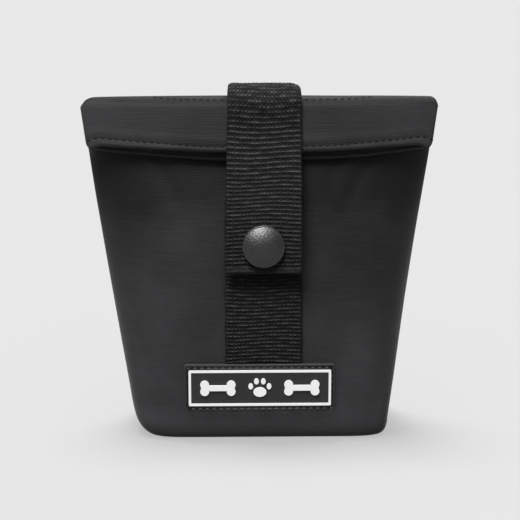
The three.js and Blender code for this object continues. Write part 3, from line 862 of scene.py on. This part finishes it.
def make_strap():
    middle, reach = (STRAP_BACK_Y + STRAP_FRONT_Y) / 2, (STRAP_BACK_Y - STRAP_FRONT_Y) / 2

    def crown(angles):
        return [[middle + reach * math.cos(a), BODY_TOP + CROWN_RISE * math.sin(a)] for a in angles]

    def back_off(z):
        return float(wall_depth(1, 0, z)) + 0.3 + WEBBING / 2

    sewn = [[back_off(z), z] for z in (97.6, 104, 112, 120, 126.5)]
    rear_path = sewn + crown(np.linspace(0.12, math.pi / 2, 9))
    # The end is turned under. out: from the wall to its outer layer. apart: from that layer to the inner one.
    out, apart = 6.4 + WEBBING / 2, WEBBING + 0.3
    over = crown(np.linspace(math.pi / 2, math.pi - 0.12, 9))
    down = [[-13.5, 122.5], [-16.3, 114.5], [-18.9, 107], [-21.3, 99.5]]
    down += [off_snap(out, -10), off_snap(out, 0), off_snap(out - 0.35, 6)]
    turn = [
        off_snap(out - 1.0 + (math.cos(a) - 1) * apart / 2, 10 + math.sin(a) * 0.4)
        for a in np.linspace(0, math.pi, 9)
    ]
    back = [off_snap(out - apart - lean, d) for d, lean in ((5, 0.4), (-2, 0), (-7, 0), (-11, 0))]
    front_path = over + down + turn + back
    fold = float(lengths_along(resample(over + down + turn[:5], 0.32))[-1])

    def edges(x):
        return 1.5 * np.clip((x - 10.2) / 4.8, 0, 1) ** 2 + 0.45 * np.clip((-x - 12.4) / 2.6, 0, 1) ** 2

    def rear_droop(x, length):
        return edges(x) * smoothstep(26, 40, length)

    def front_droop(x, length):
        return edges(x) * (1 - smoothstep(8, 22, length))

    rear, ribs_so_far = webbing(
        "strap_rear", rear_path, constant(1.95), STRAP_X, seed=0.4, droop=rear_droop,
        narrow=lambda s: 1.55 * smoothstep(8, 40, s), bend=lambda s: 0.25 + 0.35 * smoothstep(26, 36, s))
    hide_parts("strap_anchor")
    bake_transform(rear)

    def fold_flat(s):
        return 0.75 * smoothstep(fold - 3.6, fold - 2.6, s) * (1 - smoothstep(fold + 1, fold + 3, s))

    def front_pitch(s):
        return 2.0 - 0.42 * smoothstep(36, 44, s)

    front, _ = webbing(
        "strap_front", front_path, front_pitch, STRAP_X, seed=0.4, phase=ribs_so_far, droop=front_droop,
        narrow=lambda s: 1.55 * (1 - np.clip(s / 68, 0, 1)),
        bend=lambda s: 0.25 + 0.35 * (1 - smoothstep(12, 24, s)), flat=fold_flat)
    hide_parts("strap_tongue", "strap_crown")
    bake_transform(front)


def make_front_webbing():
    low = LABEL_Z + LABEL_HEIGHT / 2 + 0.15
    heights = np.linspace(low, 96, 14)
    path = [[-float(wall_depth(-1, 0, z)) - 0.45 - WEBBING / 2, z] for z in heights[::-1]]

    def follow(x, z):
        return wall_y(-1, x, z) + wall_depth(-1, np.zeros_like(x), z)

    made, _ = webbing(
        "front_webbing_tape", path, constant(1.5), STRAP_X, seed=2.1, phase=0.3, step=0.25, follow=follow)
    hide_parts("front_webbing")
    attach(made, "pouch")


def make_belt_loop():
    off = [(93, 1.2), (85, 1.2), (81.5, 2.6), (78, 6.2), (74, 8), (64, 8.2), (54, 8), (50, 6.2), (46.5, 2.6),
           (43, 1.2), (35, 1.2)]
    path = [[float(wall_depth(1, 0, z)) + out, z] for z, out in off]
    made, _ = webbing("belt_loop_tape", path, constant(1.7), 0.0, seed=3.3)
    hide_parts("belt_loop")
    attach(made, "pouch")


# -------- press stud

def on_snap_axis(name, profile, material, body, node, sides=96):
    """A round piece on the press stud's axis. profile is rows of radius and height off the wall: an open one
    runs from the axis to the axis, and one that starts off the axis closes on itself."""
    centre = np.array([STRAP_X, *off_snap(0, 0)])
    cos, sin = math.cos(SNAP_LEAN), math.sin(SNAP_LEAN)
    out, down, right = np.array([0, -cos, sin]), np.array([0, -sin, -cos]), np.array([1, 0, 0])
    points, closed = [], profile[0][0] > 0
    for radius, height in profile:
        for a in 2 * math.pi * np.arange(sides) / sides:
            spoke = right * math.cos(a) + down * math.sin(a)
            points.append(centre + out * height + max(radius, 0.01) * spoke)
    faces = quads(len(profile), sides, wrap_columns=True, wrap_rows=closed)
    if not closed:
        faces += caps(len(profile), sides)
    made = piece(name, points, faces, material, np.array(points)[:, [0, 2]])
    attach(made, body)
    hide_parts(node)


def arc(centre, radius, start, stop, count):
    """Points (radius, height) on a quarter or more of a circle, in degrees."""
    angles = np.radians(np.linspace(start, stop, count))
    return [(centre[0] + radius * math.cos(a), centre[1] + radius * math.sin(a)) for a in angles]


def make_snap():
    rim = 8.1
    top = SNAP_CAP_RADIUS - 0.45
    dome = [(r, rim + 0.86 + 2.04 * (1 - (r / top) ** 2.15)) for r in np.linspace(top, 0, 22)]
    cap = [(0, 5.05), (1.6, 5.05), (1.8, 5.25), (1.8, rim), (4, rim), (7.4, rim)]
    cap += arc((SNAP_CAP_RADIUS - 0.46, rim + 0.46), 0.46, -90, 75, 9) + dome
    on_snap_axis("snap_cap_dome", cap, LACQUER, "strap_end", "snap_cap", 128)
    socket = [(0, 4.0), (2.6, 4.0), (3.0, 3.9), (3.2, 3.0), (3.5, 2.9)] + arc((5.95, 3.35), 0.45, -90, 90, 9)
    socket += [(5.3, 4.3), (3.0, 4.38), (0, 4.4)]
    on_snap_axis("snap_socket_ring", socket, STEEL, "strap_end", "snap_socket")
    stud = [(0, -2.6), (1.6, -2.6), (1.8, -2.4), (1.8, 2.05)] + arc((5.55, 2.28), 0.23, -90, 90, 7)
    stud += [(4.4, 2.56), (2.9, 2.6), (2.55, 2.7), (2.6, 2.95)]
    stud += arc((2.25, 3.25), 0.5, -10, 90, 7) + [(0, 3.8)]
    on_snap_axis("snap_stud_post", stud, STEEL, "pouch", "snap_stud")
    ring = arc((5.45, -2.58), 0.32, -90, 90, 9) + [(2.2, -2.26), (2.2, -2.88)]
    on_snap_axis("snap_inner_ring", ring, STEEL, "pouch", "snap_post_ring")


# -------- label

# The y of the wall that the label's back lies on.
LABEL_BACK = float(-wall_depth(-1, 0, LABEL_Z)) - 0.6


def rounded_outline(inset, corner, step=0.5):
    """Points (x, z) round the label's outline at an inset, the same number of them at any inset."""
    across, up = int(LABEL_WIDTH / step), int(LABEL_HEIGHT / step)
    w, h = LABEL_WIDTH / 2 - inset - corner, LABEL_HEIGHT / 2 - inset - corner
    corners = [(1, -1, -90, up), (1, 1, 0, across), (-1, 1, 90, up), (-1, -1, 180, across)]
    points = []
    for (sx, sz, start, run), (next_x, next_z, _, _) in zip(corners, corners[1:] + corners[:1]):
        for a in np.radians(start + np.linspace(0, 90, 7)):
            points.append((sx * w + corner * math.cos(a), sz * h + corner * math.sin(a)))
        last = np.array(points[-1])
        goal = np.array([next_x * w + corner * math.cos(a), next_z * h + corner * math.sin(a)])
        points += [tuple(last + (goal - last) * k / run) for k in range(1, run)]
    return np.array(points)


def make_label():
    groove_at = 1.25
    insets = [0, 0.05, 0.15, 0.3, 0.45, 0.6, 0.75, 0.9, 1.0, 1.1, 1.25, 1.4, 1.5, 1.6, 1.8, 2.4, 4, 6.5, 8.6]
    rings = []
    for inset in [0] + insets:
        outline = rounded_outline(inset, max(LABEL_CORNER - inset * 0.8, 0.15))
        edge = min(1.0, inset / 0.5)
        height = LABEL_THICKNESS - 0.5 * (1 - math.sqrt(1 - (1 - edge) ** 2))
        scallop = 1 + 0.35 * np.cos(math.pi * np.arange(len(outline)) / STITCH_PITCH)
        height = height - 0.34 * bell(inset, groove_at, 0.26) * scallop
        if not rings:
            height = np.zeros(len(outline))
        y = LABEL_BACK - height + 0.0004 * outline[:, 0] ** 2 * (height > 0)
        rings.append(np.stack([outline[:, 0] + LABEL_X, y, outline[:, 1] + LABEL_Z], 1))
    points = np.concatenate(rings)
    count = len(outline)
    faces = quads(len(rings), count, wrap_columns=True) + caps(len(rings), count)
    patch = piece("label_patch_rubber", points, faces, RUBBER, points[:, [0, 2]])
    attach(patch, "pouch")
    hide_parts("label_patch")
    groove = rounded_outline(groove_at, 0.3)
    closed = np.concatenate([groove, groove[:1]])
    length = lengths_along(closed)
    number = int(length[-1] / STITCH_PITCH)
    middles = (np.arange(number) + 0.5) * length[-1] / number

    def place(s):
        s = s % length[-1]
        x, z = (float(np.interp(s, length, closed[:, k])) for k in (0, 1))
        return np.array([x + LABEL_X, LABEL_BACK - LABEL_THICKNESS + 0.34, z + LABEL_Z])

    sewn = stitches(
        "label_stitches", [place(s) for s in middles], [place(s + 0.3) - place(s - 0.3) for s in middles],
        [(0, -1, 0)] * number, length=2.0, radius=0.24)
    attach(sewn, "pouch")


# -------- tacks, bindings and carried-over nodes

def make_tack(name, node, z, x_mid, stand):
    """A bar tack: close threads lying up and down across a band on the back."""
    count = 60
    lean = np.array([0, float(wall_depth(1, 0, z + 1) - wall_depth(1, 0, z - 1)), 2.0])
    y = float(wall_depth(1, 0, z)) + stand
    places = [
        np.array([x, y + 0.05 * math.sin(7 * n), z + 0.14 * math.sin(3.7 * n)])
        for n, x in enumerate(x_mid + np.linspace(-12.8, 12.8, count))
    ]
    tilt = [lean + np.array([0.24 * (-1) ** n, 0, 0]) for n in range(count)]
    made = stitches(name, places, tilt, [(0, 1, 0)] * count, length=2.0, radius=0.29)
    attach(made, "pouch")
    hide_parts(node)


def make_bindings():
    """Narrow woven tape folded over each side seam's allowance, inside the bag."""
    heights = np.linspace(10, 98, 240)
    share = np.linspace(-1, 1, 22)
    for name, side in (("left", -1), ("right", 1)):
        faces = []
        for face in (-1, 1):
            rib = 0.06 * np.cos(2 * math.pi * heights / 1.3)[:, None]
            fat = (0.46 + rib) * np.sqrt(np.clip(1 - np.abs(share) ** 6, 0.05, 1))[None, :]
            x = side * (half_width(heights)[:, None] - 9.0 + 2.5 * share[None, :])
            faces.append(np.stack([x, face * fat, np.repeat(heights[:, None], len(share), 1)], -1))
        points, sides = shell(*faces)
        made = piece(f"seam_binding_{name}", points, sides, BINDING, points[:, [0, 2]])
        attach(made, "pouch")
        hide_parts(f"side_seam_binding_{name}")


def finish_nodes():
    """Materials and softened edges on the CAD pieces that are shown as they are."""
    for name, node in frame["nodes"].items():
        raised = name.startswith(("label_frame", "label_bone", "label_paw"))
        node.data.materials.clear()
        node.data.materials.append(PRINT if raised else BOARD)
        if raised:
            bevel = node.modifiers.new("soft edge", "BEVEL")
            bevel.width, bevel.segments, bevel.limit_method = 0.1 * MM, 3, "ANGLE"


# -------- stage

def make_stage():
    """A plain pale floor. It lights no cloth, and its own glow keeps the object's shadow on it soft."""
    floor = bpy.data.meshes.new("floor")
    floor.from_pydata([(-6, -6, 0), (6, -6, 0), (6, 6, 0), (-6, 6, 0)], [], [(0, 1, 2, 3)])
    m = Material("pale floor", 0.95, specular=0.0)
    clouds = m.noise(m.place(), 3.0, 2)
    m.link(m.ramp(clouds, [(0.3, (0.326, 0.326, 0.326)), (0.7, (0.334, 0.332, 0.332))]), "Base Color")
    m.glow(0.44)
    floor.materials.append(m.data)
    made = bpy.data.objects.new("floor", floor)
    bpy.context.collection.objects.link(made)
    made.location.z = CAD_BOX[0][2] - 0.0001
    made.visible_diffuse = False
    return made


def lit(name, state, *objects):
    """A light-linking group that takes in or leaves out its objects."""
    group = bpy.data.collections.new(name)
    for n, member in enumerate(objects):
        group.objects.link(member)
        group.collection_objects[n].light_linking.link_state = state
    return group


def make_lights(floor):
    """A soft dome, a wide top light that draws the floor's shadow, and key lights on the object only."""
    world = bpy.data.worlds.new("studio")
    world.use_nodes = True
    tree = world.node_tree
    place = tree.nodes.new("ShaderNodeTexCoord")
    split = tree.nodes.new("ShaderNodeSeparateXYZ")
    dome = tree.nodes.new("ShaderNodeValToRGB")
    tree.links.new(place.outputs["Generated"], split.inputs[0])
    tree.links.new(split.outputs["Z"], dome.inputs["Fac"])
    for element, (height, grey) in zip(dome.color_ramp.elements, ((0.0, 0.03), (0.75, 1.0))):
        element.position, element.color = height, (grey, grey, grey, 1)
    tree.links.new(dome.outputs["Color"], tree.nodes["Background"].inputs["Color"])
    tree.nodes["Background"].inputs["Strength"].default_value = 0.5
    bpy.context.scene.world = world
    objects = bpy.data.objects
    floor_only = lit("floor only", "INCLUDE", floor)
    object_only = lit("object only", "EXCLUDE", floor)
    cap_only = lit("cap only", "INCLUDE", objects["snap_cap_dome"])
    too_flat = lit("too flat for a shadow", "EXCLUDE", objects["label_patch_rubber"], objects["label_frame"])
    for name, strength, angle, toward, receivers, blockers in (
        ("top", 2.3, 24, (-0.08, 0.2, 1.0), floor_only, None),
        ("key", 4.6, 26, (-0.33, -0.62, 1.5), object_only, too_flat),
        ("back key", 1.2, 60, (0.5, 1.0, 0.9), object_only, None),
        ("cap key", 5.0, 40, (-0.33, -0.8, 1.35), cap_only, None),
    ):
        sun = bpy.data.lights.new(name, "SUN")
        sun.energy, sun.angle = strength, math.radians(angle)
        made = objects.new(name, sun)
        made.rotation_mode = "QUATERNION"
        made.rotation_quaternion = Vector(toward).to_track_quat("Z", "Y")
        bpy.context.collection.objects.link(made)
        made.light_linking.receiver_collection = receivers
        made.light_linking.blocker_collection = blockers
    bpy.context.scene.view_settings.view_transform = "Standard"



make_bag()
make_outer_ply()
make_inner_ply()
make_strap()
make_front_webbing()
make_belt_loop()
make_snap()
make_label()
make_tack("belt_loop_tack_top", "belt_loop_tack_upper", 89, 0.0, 2.5)
make_tack("belt_loop_tack_foot", "belt_loop_tack_lower", 39, 0.0, 2.5)
make_tack("strap_bar_tack", "strap_tack", 102, STRAP_X, 2.2)
make_bindings()
finish_nodes()
make_lights(make_stage())
